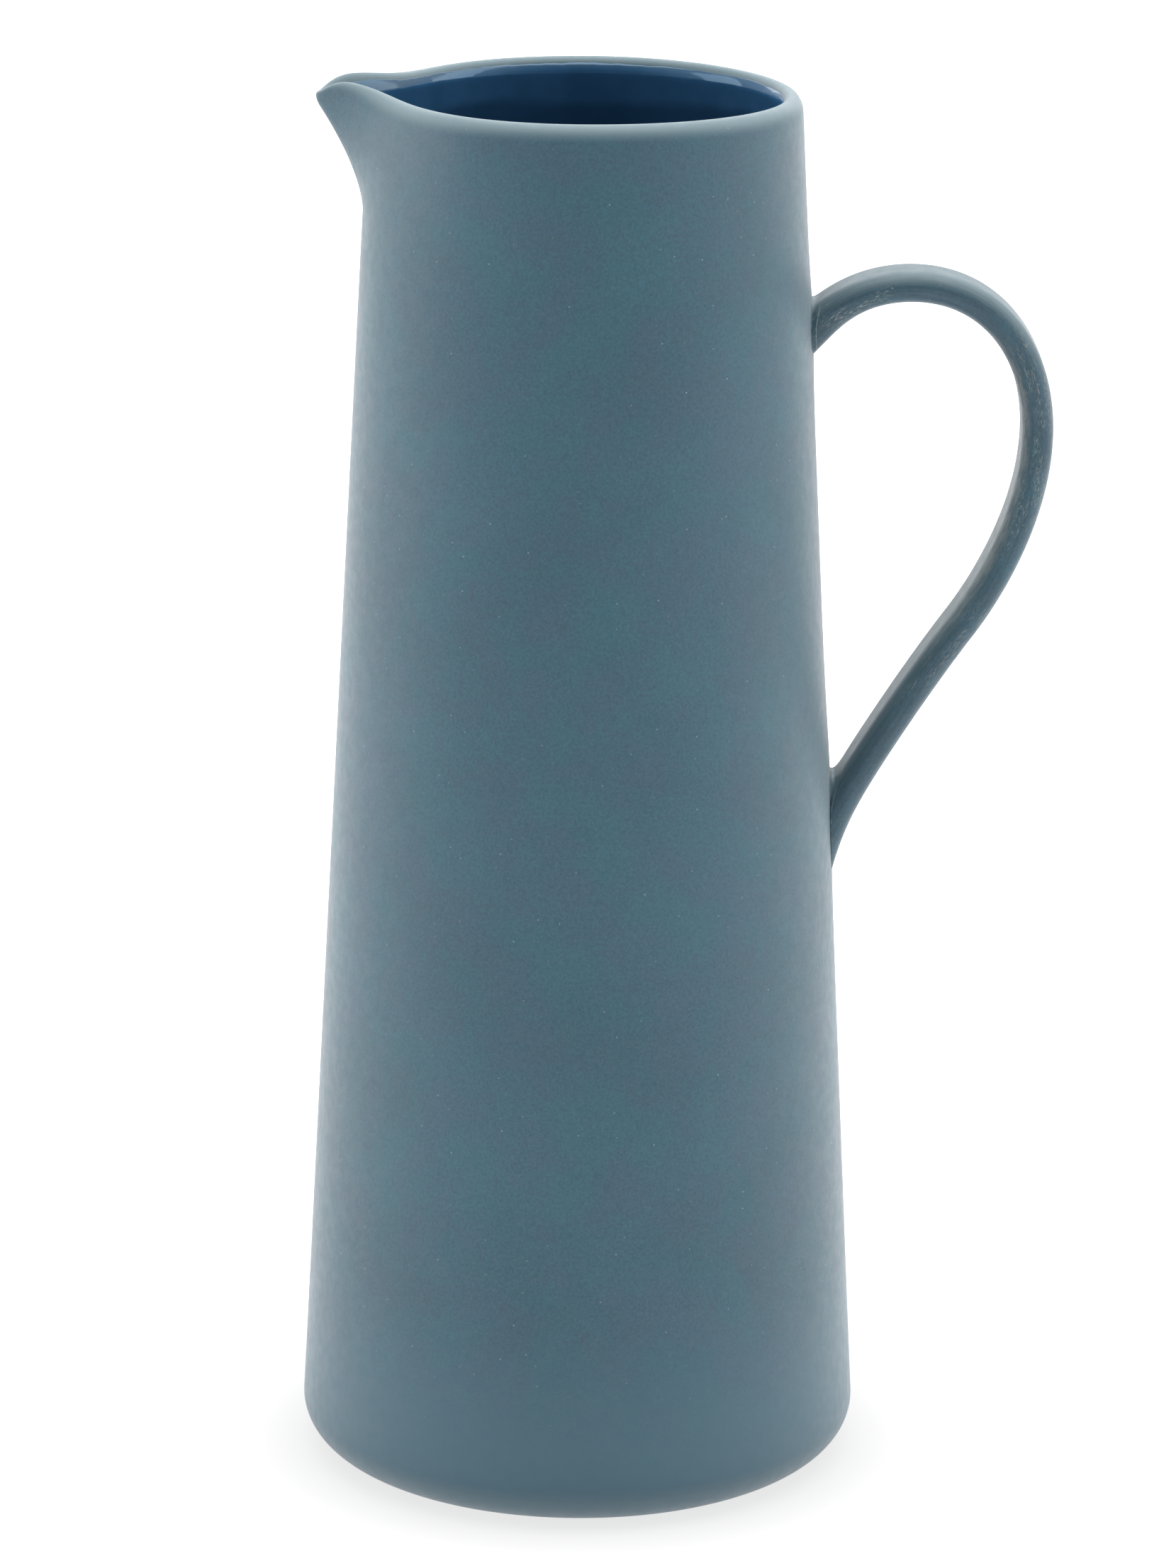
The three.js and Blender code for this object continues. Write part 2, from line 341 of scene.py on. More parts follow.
class Strap:
    """The strap's surface: a place along the midline, and a place in the section, give a point."""

    def __init__(self):
        self.midline = midline_points()
        steps = np.linalg.norm(np.diff(self.midline, axis=0), axis=1)
        self.run = np.concatenate([[0], np.cumsum(steps)]) - OVERRUN
        tangent = np.gradient(self.midline, self.run, axis=0)
        self.tangent = tangent / np.linalg.norm(tangent, axis=1, keepdims=True)
        self.length = self.run[-1] - OVERRUN

    def point(self, s, across, out):
        """s along the midline, across the width (Y), out from the midline away from the body."""
        x, z = (np.interp(s, self.run, self.midline[:, i]) for i in (0, 1))
        tx, tz = (np.interp(s, self.run, self.tangent[:, i]) for i in (0, 1))
        share = np.clip(s / self.length, 0, 1)
        thick = STRAP_THICK_TOP + (STRAP_THICK_FOOT - STRAP_THICK_TOP) * share
        inner = ROOT_FLARE["thick"] * np.exp(-(s / ROOT_FLARE["length"]) ** 2)
        outer = FOOT_FLARE["thick"] * np.exp(-((self.length - s) / FOOT_FLARE["length"]) ** 2)
        out = out * (thick + 2 * (inner if out < 0 else outer))
        return np.stack([x - tz * out, across + 0 * x, z + tx * out], axis=-1)

    def crossing(self, across, out, depth, at_foot):
        """Where along the midline the line of the section point goes depth into the wall."""
        s = np.linspace(-OVERRUN, SEARCH, SEARCH_STEPS)
        if at_foot:
            s = self.length - s
        points = self.point(s, across, out)
        proud = np.hypot(points[:, 0], points[:, 1]) - wall_radius(points[:, 2])
        outside = np.argmax(proud > -depth)
        share = (-depth - proud[outside - 1]) / (proud[outside] - proud[outside - 1])
        return s[outside - 1] + share * (s[outside] - s[outside - 1])


def strap_section():
    """The strap's outline: (across in mm, out as a share of the thickness), and its normals.

    It starts at the outer face's +Y edge and runs over the outer face, the -Y side, the inner face
    and the +Y side.
    """
    half_width = STRAP_WIDTH / 2
    half_thick = STRAP_THICK / 2
    corners = [(1, 1), (-1, 1), (-1, -1), (1, -1)]
    arcs = []
    for quarter, (side, face) in enumerate(corners):
        centre = (side * (half_width - STRAP_CORNER[0]), face * (half_thick - STRAP_CORNER[1]))
        arcs.append(arc(centre, *STRAP_CORNER, quarter * 90, quarter * 90 + 90, CORNER_POINTS))
    outline = []
    for quarter in range(4):
        outline.append(arcs[quarter])
        count = ACROSS_POINTS if quarter % 2 == 0 else THROUGH_POINTS
        outline.append(np.linspace(arcs[quarter][-1], arcs[(quarter + 1) % 4][0], count)[1:-1])
    outline = np.concatenate(outline)
    ahead, behind = np.roll(outline, -1, axis=0), np.roll(outline, 1, axis=0)
    along = ahead - behind
    normals = np.stack([along[:, 1], -along[:, 0]], axis=-1)
    normals /= np.linalg.norm(normals, axis=1, keepdims=True)
    outline[:, 1] /= half_thick * 2
    return outline, normals


STRAP = Strap()
ROOT_DEPTH = 1.6              # how far the strap's ends are set into the wall


def make_handle():
    outline, _ = strap_section()
    lines, runs = [], []
    for across, out in outline:
        start = STRAP.crossing(across, out, ROOT_DEPTH, at_foot=False)
        end = STRAP.crossing(across, out, ROOT_DEPTH, at_foot=True)
        lines.append(STRAP.point(np.linspace(start, end, STRAP_ROWS), across, out))
        steps = np.linalg.norm(np.diff(lines[-1], axis=0), axis=1)
        runs.append(np.concatenate([[0], np.cumsum(steps)]))
    rings = np.array(lines).transpose(1, 0, 2)
    handle = skin("strap_handle", rings, cap_ends=True)
    add_along_strap(handle, outline, np.array(runs).T)
    return face_outwards(handle)


def add_along_strap(handle, outline, runs):
    """Gives each point three lengths in millimetres, for the strap's material to read.

    They are the run along the strap, the girth round the section, and how far round the section
    the point lies from the middle of the inner face.
    """
    girth = np.linalg.norm(np.diff(outline * (1, STRAP_THICK_FOOT), axis=0), axis=1)
    girth = np.concatenate([[0], np.cumsum(girth)])
    on_inner_face = np.isclose(outline[:, 1], outline[:, 1].min())
    from_inner = np.abs(girth - girth[on_inner_face].mean())
    places = np.zeros((len(handle.data.vertices), 3))
    places[:runs.size, 0] = runs.ravel()
    places[:runs.size, 1] = np.tile(girth, len(runs))
    places[:runs.size, 2] = np.tile(from_inner, len(runs))
    attribute = handle.data.attributes.new("along_strap", "FLOAT_VECTOR", "POINT")
    attribute.data.foreach_set("vector", places.ravel())


# ---- the luting slip: a concave fillet round each end of the strap ----

FILLET_STEPS = 28
# Along the strap's sides the slip has a bead, and beside it the groove that the tool left. The places
# and the widths are shares of the way from the strap to the wall.
SLIP_BEAD = dict(height=0.25, at=0.12, width=0.07)
SLIP_GROOVE = dict(height=0.4, at=0.36, width=0.14)
SLIP_SUNK = 0.05              # the fillet's edges lie this deep in the strap and in the wall
SLIP_UNDER = 0.5              # its hidden side lies this deep in them
SLIP_CORNER_UNDER = 0.6, 0.8  # and its hidden corner this deep in the strap and in the wall
NORMAL_STEP = 0.01            # length of the step that finds the strap's direction outwards
NOMINAL_THICK = 6.3           # the CAD strap's thickness, which turns that step into a share of it


def onto_wall(points, depth=0.0):
    """Moves points straight out or in, to lie on the wall or depth below it."""
    radius = np.hypot(points[..., 0], points[..., 1])
    scale = (wall_radius(points[..., 2]) - depth) / radius
    return np.stack([points[..., 0] * scale, points[..., 1] * scale, points[..., 2]], axis=-1)


def make_slip(name, at_foot, leg_on_strap, leg_on_wall):
    """A ring of slip with a concave fillet, whose legs reach up the strap and along the wall.

    The legs depend on the place in the section: out is -0.5 on the strap's inner face and 0.5 on
    its outer one, and side is 1 on its narrow sides and 0 on its faces.
    """
    outline, normals = strap_section()
    rings, relief = [], []
    away = -1 if at_foot else 1
    t = np.linspace(0, 1, FILLET_STEPS)[:, None]
    bead, groove = (np.exp(-((t - mark["at"]) / mark["width"]) ** 2) for mark in (SLIP_BEAD, SLIP_GROOVE))
    ridge = SLIP_BEAD["height"] * bead - SLIP_GROOVE["height"] * groove
    for (across, out), normal in zip(outline, normals):
        side = abs(normal[0])
        s = STRAP.crossing(across, out, 0, at_foot)
        corner = STRAP.point(np.array([s]), across, out)[0]
        up_strap = STRAP.point(np.array([s + away * leg_on_strap(out, side)]), across, out)[0]
        step_across, step_out = normal * NORMAL_STEP
        nearby = STRAP.point(np.array([s]), across + step_across, out + step_out / NOMINAL_THICK)[0]
        outward = (nearby - corner) / np.linalg.norm(nearby - corner)
        wall_normal = np.array([corner[0], corner[1], 0]) / np.hypot(corner[0], corner[1])
        across_wall = outward - wall_normal * outward.dot(wall_normal)
        across_wall /= np.linalg.norm(across_wall)
        on_wall = onto_wall(corner + across_wall * leg_on_wall(out, side))
        curve = (1 - t) ** 2 * up_strap + 2 * (1 - t) * t * corner + t ** 2 * on_wall
        bisector = (outward + wall_normal) / np.linalg.norm(outward + wall_normal)
        curve += ridge * side * bisector
        curve[0] -= outward * SLIP_SUNK
        curve[-1] = onto_wall(curve[-1], SLIP_SUNK)
        under_strap = up_strap - outward * SLIP_UNDER
        under_corner = onto_wall(corner - outward * SLIP_CORNER_UNDER[0], SLIP_CORNER_UNDER[1])
        under_wall = onto_wall(on_wall, SLIP_UNDER)
        rings.append(np.concatenate([curve, [under_wall, under_corner, under_strap]]))
        relief.append(np.concatenate([side * (bead - groove)[:, 0], [0, 0, 0]]))
    slip = skin(name, np.array(rings), close_rings=True)
    attribute = slip.data.attributes.new("relief", "FLOAT", "POINT")
    attribute.data.foreach_set("value", np.array(relief).ravel())
    return face_outwards(slip)


def make_upper_slip():
    """Its legs gain a little on the strap's sides, and most on its outer face, in a small web."""
    def leg(shortest, on_sides, in_web):
        return lambda out, side: shortest + on_sides * side + in_web * max(2 * out, 0)
    return make_slip("upper_luting_slip", at_foot=False,
                     leg_on_strap=leg(shortest=1.3, on_sides=0.6, in_web=1.2),
                     leg_on_wall=leg(shortest=1.0, on_sides=0.3, in_web=1.2))


def make_lower_slip():
    """Its legs are short, but long in the crotch below the strap's inner face, in a web."""
    def leg(shortest, in_web):
        return lambda out, side: shortest + in_web * max(-2 * out, 0) ** 3
    return make_slip("lower_luting_slip", at_foot=True,
                     leg_on_strap=leg(shortest=1.3, in_web=5.4),
                     leg_on_wall=leg(shortest=0.8, in_web=5.9))


# ---- materials ----

def add(tree, kind, inputs=None, **settings):
    """Adds a node; each input is a value for its socket, or another node's output."""
    node = tree.nodes.new(kind)
    for key, value in settings.items():
        setattr(node, key, value)
    for key, value in (inputs or {}).items():
        socket = node.inputs[key]
        if isinstance(value, bpy.types.NodeSocket):
            tree.links.new(value, socket)
        else:
            socket.default_value = value
    return node


def blank_material(name):
    material = bpy.data.materials.new(name)
    material.use_nodes = True
    material.node_tree.nodes.clear()
    return material, material.node_tree


def place(tree):
    """Where a point lies in the frame, in metres (every piece has its origin at the frame's)."""
    return add(tree, "ShaderNodeTexCoord").outputs["Object"]


def noise(tree, size_mm, detail=2.0, roughness=0.5, where=None, **settings):
    """Soft noise from 0 to 1 whose patches are about size_mm across."""
    return add(tree, "ShaderNodeTexNoise", {
        "Vector": where or place(tree), "Scale": 1 / (size_mm * MM), "Detail": detail,
        "Roughness": roughness}, **settings).outputs["Fac"]


def remap(tree, value, low, high, to_low=0.0, to_high=1.0):
    """Runs smoothly from to_low where value is low to to_high where it is high, and stays level beyond."""
    return add(tree, "ShaderNodeMapRange", {
        "Value": value, "From Min": low, "From Max": high, "To Min": to_low, "To Max": to_high},
        interpolation_type="SMOOTHSTEP").outputs["Result"]


def math_node(tree, operation, *values):
    return add(tree, "ShaderNodeMath", dict(enumerate(values)), operation=operation).outputs[0]


def product(tree, first, *others):
    for other in others:
        first = math_node(tree, "MULTIPLY", first, other)
    return first


def heights(tree):
    """How high a point lies, in metres."""
    return add(tree, "ShaderNodeSeparateXYZ", {0: place(tree)}).outputs["Z"]


MIX_SHARE, MIX_FIRST, MIX_SECOND = 0, 6, 7      # the mix node's sockets when it mixes colours
MIX_RESULT = 2


def mix_colour(tree, share, first, second, blend="MIX"):
    node = add(tree, "ShaderNodeMix", data_type="RGBA", blend_type=blend)
    for key, value in ((MIX_SHARE, share), (MIX_FIRST, first), (MIX_SECOND, second)):
        socket = node.inputs[key]
        if isinstance(value, bpy.types.NodeSocket):
            tree.links.new(value, socket)
        else:
            socket.default_value = value if key == MIX_SHARE else (*value, 1.0)
    return node.outputs[MIX_RESULT]


def shaded(tree, colour, value):
    """The colour made lighter or darker by a value round 1."""
    grey = add(tree, "ShaderNodeCombineColor", {"Red": value, "Green": value, "Blue": value})
    return mix_colour(tree, 1.0, colour, grey.outputs[0], blend="MULTIPLY")


def specks(tree, spacing_mm, radius_mm, strongest):
    """Sparse round dots of random strength, 0 elsewhere."""
    dots = add(tree, "ShaderNodeTexVoronoi", {"Vector": place(tree), "Scale": 1 / (spacing_mm * MM)})
    share = radius_mm / spacing_mm
    dot = remap(tree, dots.outputs["Distance"], share, share * 0.5)
    chance = add(tree, "ShaderNodeSeparateColor", {"Color": dots.outputs["Color"]}).outputs["Red"]
    return math_node(tree, "MULTIPLY", dot, remap(tree, chance, 0.2, 1.0, 0.0, strongest))


CLAY_TEAL = (0.0205, 0.085, 0.118)
CLAY_PURPLE = (0.0285, 0.078, 0.115)
CLAY_PALE = (0.33, 0.40, 0.42)
PAINTED_PIT_SHADE = (0.025, 0.045, 0.055)
RIM_PAINTED_TOP_LIGHT = (0.130, 0.195, 0.222)        # painted light: paler where the clay faces up, as if lit from above
# the strap's faces that look up are painted paler too: painted light from above
STRAP_PAINTED_TOP_LIGHT = (0.070, 0.118, 0.140)
FOOT_PAINTED_BOUNCE = (0.050, 0.118, 0.160)       # painted bounce light from the floor: slightly paler towards the foot
HEEL_PAINTED_BOUNCE = (0.076, 0.138, 0.176)     # and more so where the heel turns under

MOTTLE = 12                   # size in mm of the patches that lean to teal or to violet
CLOUDS = 40                   # of the broad, faint changes of brightness
GRAIN = 0.6                   # of the fine grain in the colour
TOOTH = 0.5                   # of the fine relief of the surface
TOOTH_DEPTH = 0.05            # and its depth
CLAY_SPECKS = [               # spacing and radius in mm, strength and colour
    (2.6, 0.2, 0.5, CLAY_PALE),
    (11, 0.22, 1.0, CLAY_PALE),
    # dark dots: painted shade of small pits
    (19, 0.3, 1.0, PAINTED_PIT_SHADE),
]
CLAY_ROUGH = 0.46, 0.56
CLAY_SHEEN = 0.26             # the powdery surface of unglazed clay, which looks paler at a low angle
TOP_LIGHT_SLOPE = 0.0, 0.62       # height of the normal at which the painted top light begins, and at which it is full


def clay_material(name, teal=CLAY_TEAL, purple=CLAY_PURPLE, top_light=STRAP_PAINTED_TOP_LIGHT, finish=None):
    """Matte clay whose faces that look up are painted paler, as painted light from above. The finish, if
    any, changes the colour once more from where and how the clay lies.
    """
    material, tree = blank_material(name)
    mottle = remap(tree, noise(tree, MOTTLE, detail=4, roughness=0.6), 0.36, 0.64)
    colour = mix_colour(tree, mottle, teal, purple)
    clouds = remap(tree, noise(tree, CLOUDS, detail=5, roughness=0.6), 0.3, 0.7, 0.93, 1.07)
    grain = remap(tree, noise(tree, GRAIN, detail=3, roughness=0.75), 0.2, 0.8, 0.76, 1.24)
    colour = shaded(tree, colour, product(tree, clouds, grain))
    normal = add(tree, "ShaderNodeNewGeometry").outputs["Normal"]
    faces_up = add(tree, "ShaderNodeSeparateXYZ", {0: normal}).outputs["Z"]
    # painted light: faces that look up are made paler, as if lit from above
    colour = mix_colour(tree, remap(tree, faces_up, *TOP_LIGHT_SLOPE), colour, top_light)
    for spacing, radius, strength, speck_colour in CLAY_SPECKS:
        colour = mix_colour(tree, specks(tree, spacing, radius, strength), colour, speck_colour)
    if finish:
        colour = finish(tree, colour, faces_up)
    rough = remap(tree, noise(tree, 2.5, detail=2), 0.3, 0.7, *CLAY_ROUGH)
    tooth = add(tree, "ShaderNodeBump", {"Strength": 0.25, "Distance": TOOTH_DEPTH * MM,
                                         "Height": noise(tree, TOOTH, detail=3, roughness=0.7)})
    shader = add(tree, "ShaderNodeBsdfPrincipled", {
        "Base Color": colour, "Roughness": rough, "IOR": 1.5, "Normal": tooth.outputs["Normal"],
        "Specular IOR Level": 0.4, "Sheen Weight": CLAY_SHEEN, "Sheen Roughness": 0.5})
    add(tree, "ShaderNodeOutputMaterial", {"Surface": shader.outputs[0]})
    return material


def foot_painted_bounce(tree, colour, faces_up):
    """Painted bounce light from the floor: the clay is painted slightly paler towards the foot, and more
    so where the heel turns under.
    """
    low = remap(tree, heights(tree), 5 * HEEL_UP * MM, HEEL_UP * MM, 0.0, 0.9)
    colour = mix_colour(tree, low, colour, FOOT_PAINTED_BOUNCE)
    # painted bounce light where the heel faces down towards the floor
    bounce_under = product(tree, low, remap(tree, faces_up, -0.05, -0.5))
    return mix_colour(tree, bounce_under, colour, HEEL_PAINTED_BOUNCE)


# pale of the scuffs, and of the painted light along the inner edges
SCUFF_AND_PAINTED_LIGHT = (0.36, 0.37, 0.35)
SCUFFED = [(2, 25, 0.6), (45, 100, 0.45), (103, 135, 0.35)]      # from and to along the strap, strength
SCUFF_FADE = 8                # length over which a scuffed stretch begins and ends
SCUFF_SLOPE = 0.6, 0.2        # faces that look up more than this have no scuffs
INNER_LIGHT_STRETCH = dict(start=30, end=125, fade=30)     # where the inner edges are painted paler as painted light, along the strap
INNER_LIGHT_OUTSIDE = 7.8, 5.8       # how far from the inner face's middle the band of painted light fades out
INNER_LIGHT_INSIDE = 2.5, 5.5        # and where it fades towards that middle


def streaks(tree, along, length_mm, width_mm, detail):
    """Noise drawn out along the strap."""
    stretched = add(tree, "ShaderNodeVectorMath", {
        0: along, 1: (1 / length_mm, 1 / width_mm, 0)}, operation="MULTIPLY").outputs[0]
    return add(tree, "ShaderNodeTexNoise", {
        "Vector": stretched, "Scale": 1.0, "Detail": detail, "Roughness": 0.6}).outputs["Fac"]


def stretch(tree, run, start, end, fade):
    """1 on one stretch of the strap, 0 elsewhere."""
    return product(tree, remap(tree, run, start, start + fade), remap(tree, run, end, end - fade))


def strap_finish(tree, colour, faces_up):
    """Brushed streaks, a band of painted light along the inner edges, and pale scuffs on the stretches
    that get knocked.
    """
    along = add(tree, "ShaderNodeAttribute", attribute_name="along_strap").outputs["Vector"]
    run, _, from_inner = add(tree, "ShaderNodeSeparateXYZ", {0: along}).outputs
    brushed = remap(tree, streaks(tree, along, 14, 0.7, detail=2), 0.3, 0.7, 0.87, 1.13)
    colour = shaded(tree, colour, brushed)
    # painted light: a pale band along the inner edges, as if lit from the upper left
    painted_inner_light = product(tree, remap(tree, from_inner, *INNER_LIGHT_OUTSIDE),
                   remap(tree, from_inner, *INNER_LIGHT_INSIDE, 0.35, 1.0), stretch(tree, run, **INNER_LIGHT_STRETCH),
                   remap(tree, streaks(tree, along, 4, 0.9, detail=4), 0.35, 0.6, 0.12, 0.42))
    colour = mix_colour(tree, painted_inner_light, colour, SCUFF_AND_PAINTED_LIGHT)
    scratches = product(tree, remap(tree, streaks(tree, along, 1.1, 0.24, detail=4), 0.48, 0.66),
                        remap(tree, streaks(tree, along, 9, 2.2, detail=2), 0.42, 0.6),
                        remap(tree, faces_up, *SCUFF_SLOPE))
    for start, end, strength in SCUFFED:
        share = product(tree, stretch(tree, run, start, end, SCUFF_FADE), scratches, strength)
        colour = mix_colour(tree, share, colour, SCUFF_AND_PAINTED_LIGHT)
    return colour


# pale of dried slip, and of the painted highlight on the bead
SLIP_PALE_AND_HIGHLIGHT = (0.22, 0.26, 0.27)
SLIP_GROOVE_SHADE = (0.008, 0.030, 0.055)


def slip_finish(tree, colour, faces_up):
    """The bead is painted pale as a highlight, the tool's groove is painted dark as shade, and slip has
    dried in pale smears.
    """
    relief = add(tree, "ShaderNodeAttribute", attribute_name="relief").outputs["Fac"]
    # painted shade: the tool's groove is darkened
    colour = mix_colour(tree, remap(tree, relief, -0.2, -0.8, 0.0, 0.85), colour, SLIP_GROOVE_SHADE)
    # painted highlight on the bead, in patches
    bead_highlight = product(tree, remap(tree, relief, 0.3, 0.9),
                     remap(tree, noise(tree, 1.2, detail=2), 0.4, 0.6, 0.1, 0.6))
    colour = mix_colour(tree, bead_highlight, colour, SLIP_PALE_AND_HIGHLIGHT)
    smears = remap(tree, noise(tree, 2.4, detail=3), 0.58, 0.68, 0.0, 0.6)
    return mix_colour(tree, smears, colour, SLIP_PALE_AND_HIGHLIGHT)


GLAZE_NAVY = [(0.022, 0.076, 0.156), (0.026, 0.085, 0.175)]
GLAZE_THIN = (0.042, 0.090, 0.150)      # near its edge the clay shows through the glaze
GLAZE_SPECK = (0.6, 0.62, 0.66)
THIN_BELOW_RIM = 2.6, 1.3     # depths below the rim between which the glaze gets thin
RIM_SHADOW_BELOW_RIM = 7.5, 4.5     # depths between which the painted shade of the rim's shadow below gives way to painted light above
RIM_SHADOW_SWAY = 7                 # how far that line wanders up and down
GLAZE_ROUGH, THIN_ROUGH = 0.06, 0.18
GLAZE_IOR = 1.8               # a glossy glaze reflects more than window glass does
GLAZE_TINT = (0.5, 0.72, 0.9)           # and its reflections are bluish


def below_rim(tree, value, depths, to_low=0.0, to_high=1.0):
    """Runs from to_low at the first depth below the rim, in mm, to to_high at the second."""
    low, high = ((HEIGHT - depth) * MM for depth in depths)
    return remap(tree, value, low, high, to_low, to_high)


def glaze_material(name):
    """Glossy navy glass with slow waves, painted shade of the rim's shadow below a wandering line and
    painted light above it, and a thin, paler edge.
    """
    material, tree = blank_material(name)
    height = heights(tree)
    patches = remap(tree, noise(tree, 9, detail=2), 0.35, 0.65)
    colour = mix_colour(tree, patches, *GLAZE_NAVY)
    sway = math_node(tree, "MULTIPLY", noise(tree, 22, detail=4), RIM_SHADOW_SWAY * MM)
    shadow_line = math_node(tree, "ADD", height, sway)
    # painted shade below the wandering line, painted light above it
    colour = shaded(tree, colour, below_rim(tree, shadow_line, RIM_SHADOW_BELOW_RIM, 0.8, 1.35))
    thin = below_rim(tree, height, THIN_BELOW_RIM)
    colour = mix_colour(tree, thin, colour, GLAZE_THIN)
    colour = mix_colour(tree, specks(tree, 9, 0.16, strongest=1.0), colour, GLAZE_SPECK)
    rough = math_node(tree, "MULTIPLY_ADD", thin, THIN_ROUGH - GLAZE_ROUGH, GLAZE_ROUGH)
    waves = add(tree, "ShaderNodeBump", {"Strength": 0.2, "Distance": 0.4 * MM,
                                         "Height": noise(tree, 6, detail=1)})
    shader = add(tree, "ShaderNodeBsdfPrincipled", {
        "Base Color": colour, "Roughness": rough, "IOR": GLAZE_IOR,
        "Specular Tint": (*GLAZE_TINT, 1.0), "Normal": waves.outputs["Normal"]})
    add(tree, "ShaderNodeOutputMaterial", {"Surface": shader.outputs[0]})
    return material


# ---- pieces into the frame ----

def fit(piece, material, node):
    """Gives a piece its material, hangs it under the root, and hides the CAD node that it stands for."""
    piece.data.materials.append(material)
    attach(piece, "root")
    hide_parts(node)


clay = clay_material("slate_blue_clay", top_light=RIM_PAINTED_TOP_LIGHT, finish=foot_painted_bounce)
slip = clay_material("luting_slip", teal=(0.048, 0.110, 0.138), purple=(0.056, 0.104, 0.130),
                     finish=slip_finish)
strap_clay = clay_material("strap_clay", teal=(0.022, 0.074, 0.104), purple=(0.029, 0.070, 0.100),
                           finish=strap_finish)
fit(make_body(), clay, "body")
fit(make_glaze(), glaze_material("navy_glaze"), "interior_glaze")
fit(make_handle(), strap_clay, "handle")
fit(make_upper_slip(), slip, "handle_upper_slip_joint")
fit(make_lower_slip(), slip, "handle_lower_slip_joint")


# ---- floor, light and camera ----

FLOOR_HALF = 6.0              # half the floor's side, in metres
FLOOR_WHITE = 0.08            # the floor is a light table: mostly its own glow
GLOW_NEAR, GLOW_FAR = 0.76, 1.6        # dimmer beside the foot as a painted shadow round it, brighter farther out
GLOW_RAMP = 45, 140           # distances from the axis, in millimetres


def make_floor():
    corners = [(x * FLOOR_HALF, y * FLOOR_HALF, 0) for x, y in ((-1, -1), (1, -1), (1, 1), (-1, 1))]
    mesh = bpy.data.meshes.new("floor")
    mesh.from_pydata(corners, [], [(0, 1, 2, 3)])
    floor = bpy.data.objects.new("floor", mesh)
    bpy.context.scene.collection.objects.link(floor)
    material, tree = blank_material("white_floor")
    white = add(tree, "ShaderNodeBsdfDiffuse", {"Color": (*[FLOOR_WHITE] * 3, 1)})
    distance = add(tree, "ShaderNodeVectorMath", {0: place(tree)}, operation="LENGTH").outputs["Value"]
    near, far = (radius * MM for radius in GLOW_RAMP)
    # painted shadow: the glow is dimmer near the foot
    strength = remap(tree, distance, near, far, GLOW_NEAR, GLOW_FAR)
    glow = add(tree, "ShaderNodeEmission", {"Color": (1, 1, 1, 1), "Strength": strength})
    both = add(tree, "ShaderNodeAddShader", {0: white.outputs[0], 1: glow.outputs[0]})
    add(tree, "ShaderNodeOutputMaterial", {"Surface": both.outputs[0]})
    mesh.materials.append(material)


SKY_LOW = 0.7                 # brightness of the room round the table, away from the camera's side
SKY_FRONT = 0.02              # the dark room behind the camera
SKY_TURN = -1.0, -0.3         # Y of a level direction, from the dark side to the full brightness
CEILING = 4.0                 # the ceiling panel straight overhead
CEILING_EDGE = 0.80, 0.90     # heights on the unit sphere between which it fades in


def make_world():
    """A room that lights the pitcher from all sides but the camera's; the camera sees plain white."""
    world = bpy.data.worlds.new("studio")
    bpy.context.scene.world = world
    world.use_nodes = True
    tree = world.node_tree
    tree.nodes.clear()
    where = add(tree, "ShaderNodeTexCoord").outputs["Generated"]
    axes = add(tree, "ShaderNodeSeparateXYZ", {0: where})
    flat = add(tree, "ShaderNodeVectorMath", {0: where, 1: (1, 1, 0)}, operation="MULTIPLY").outputs[0]
    length = add(tree, "ShaderNodeVectorMath", {0: flat}, operation="LENGTH").outputs["Value"]
    turn = math_node(tree, "DIVIDE", axes.outputs["Y"], length)
    low = remap(tree, turn, *SKY_TURN, SKY_FRONT, SKY_LOW)
    top = remap(tree, axes.outputs["Z"], *CEILING_EDGE, 0.0, CEILING)
    lit = add(tree, "ShaderNodeBackground", {
        "Color": (1, 1, 1, 1), "Strength": math_node(tree, "ADD", low, top)})
    seen = add(tree, "ShaderNodeBackground", {"Color": (1, 1, 1, 1), "Strength": 1.0})
    path = add(tree, "ShaderNodeLightPath")
    mixed = add(tree, "ShaderNodeMixShader", {
        0: path.outputs["Is Camera Ray"], 1: lit.outputs[0], 2: seen.outputs[0]})
    add(tree, "ShaderNodeOutputWorld", {"Surface": mixed.outputs[0]})


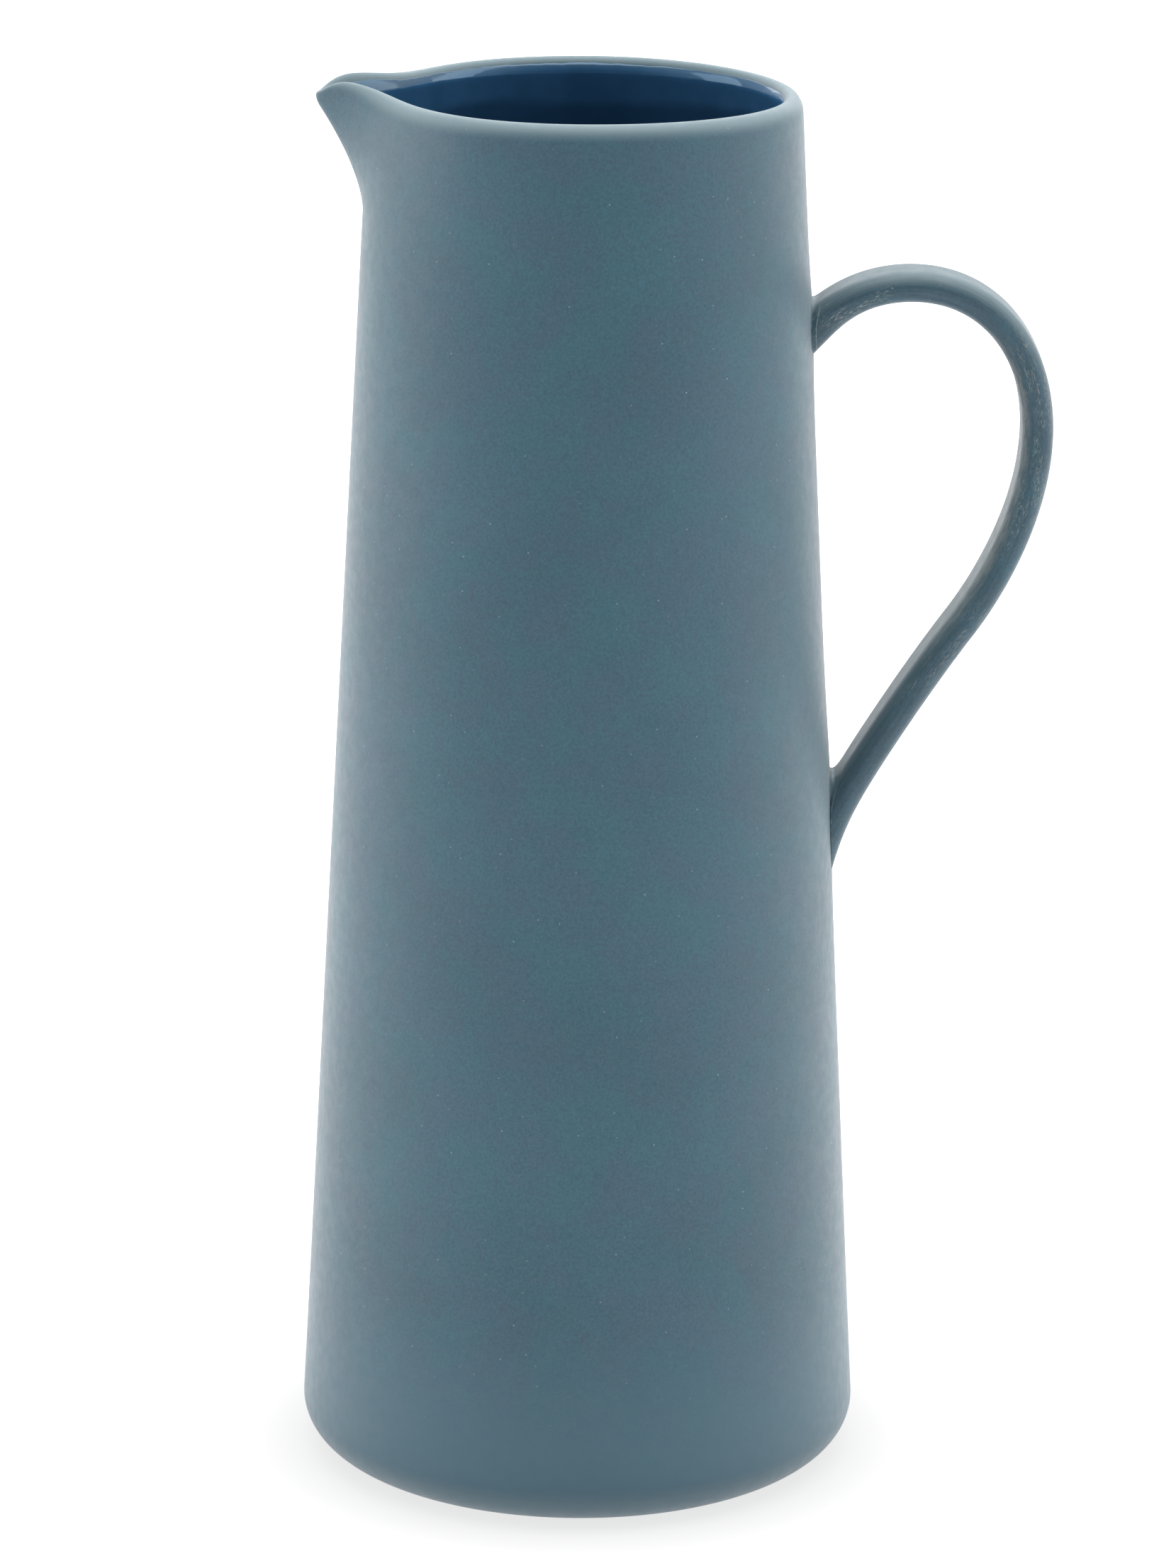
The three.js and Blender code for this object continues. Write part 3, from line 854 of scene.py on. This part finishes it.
def aim(thing, target, roll=0.0):
    look = (Vector(target) - thing.location).to_track_quat("-Z", "Y")
    thing.rotation_mode = "QUATERNION"
    thing.rotation_quaternion = look @ Matrix.Rotation(math.radians(roll), 3, "Z").to_quaternion()


def around(azimuth, elevation, distance, centre):
    """A place round the pitcher; azimuth 0 is the camera's side and 90 is the handle's."""
    turn, rise = math.radians(azimuth), math.radians(elevation)
    level = math.cos(rise)
    away = Vector((math.sin(turn) * level, -math.cos(turn) * level, math.sin(rise)))
    return Vector(centre) + distance * away


def softbox(name, azimuth, elevation, distance, width, height, radiance):
    """A soft lamp that faces the pitcher. Distance, width and height are in metres."""
    light = bpy.data.lights.new(name, "AREA")
    light.shape = "RECTANGLE"
    light.size = width
    light.size_y = height
    light.energy = radiance * math.pi * width * height
    lamp = bpy.data.objects.new(name, light)
    bpy.context.scene.collection.objects.link(lamp)
    middle = (0, 0, HEIGHT * MM / 2)
    lamp.location = around(azimuth, elevation, distance, middle)
    aim(lamp, middle)
    lamp.visible_camera = False


CAMERA_TARGET = (1.4, 0, 144.0)     # where the camera's axis meets the pitcher's middle plane
CAMERA_DISTANCE = 1311.0
CAMERA_ELEVATION = 15.87
CAMERA_ROLL = 0.39
CAMERA_LENS = 144.4                 # for a 36 mm sensor along the tall side


def make_camera():
    camera = bpy.data.objects.new("camera", bpy.data.cameras.new("camera"))
    bpy.context.scene.collection.objects.link(camera)
    target = Vector(CAMERA_TARGET) * MM
    camera.location = around(0, CAMERA_ELEVATION, CAMERA_DISTANCE * MM, target)
    camera.location.x = 0
    aim(camera, target, CAMERA_ROLL)
    camera.data.lens = CAMERA_LENS
    bpy.context.scene.camera = camera


make_floor()
make_world()
softbox("left_softbox", azimuth=-92, elevation=15, distance=1.4, width=0.8, height=1.5, radiance=1.5)
softbox("right_softbox", azimuth=94, elevation=38, distance=1.4, width=0.8, height=1.5, radiance=1.65)
softbox("back_softbox", azimuth=180, elevation=40, distance=1.8, width=2.6, height=1.6, radiance=1.6)
make_camera()
bpy.context.scene.view_settings.view_transform = "Standard"
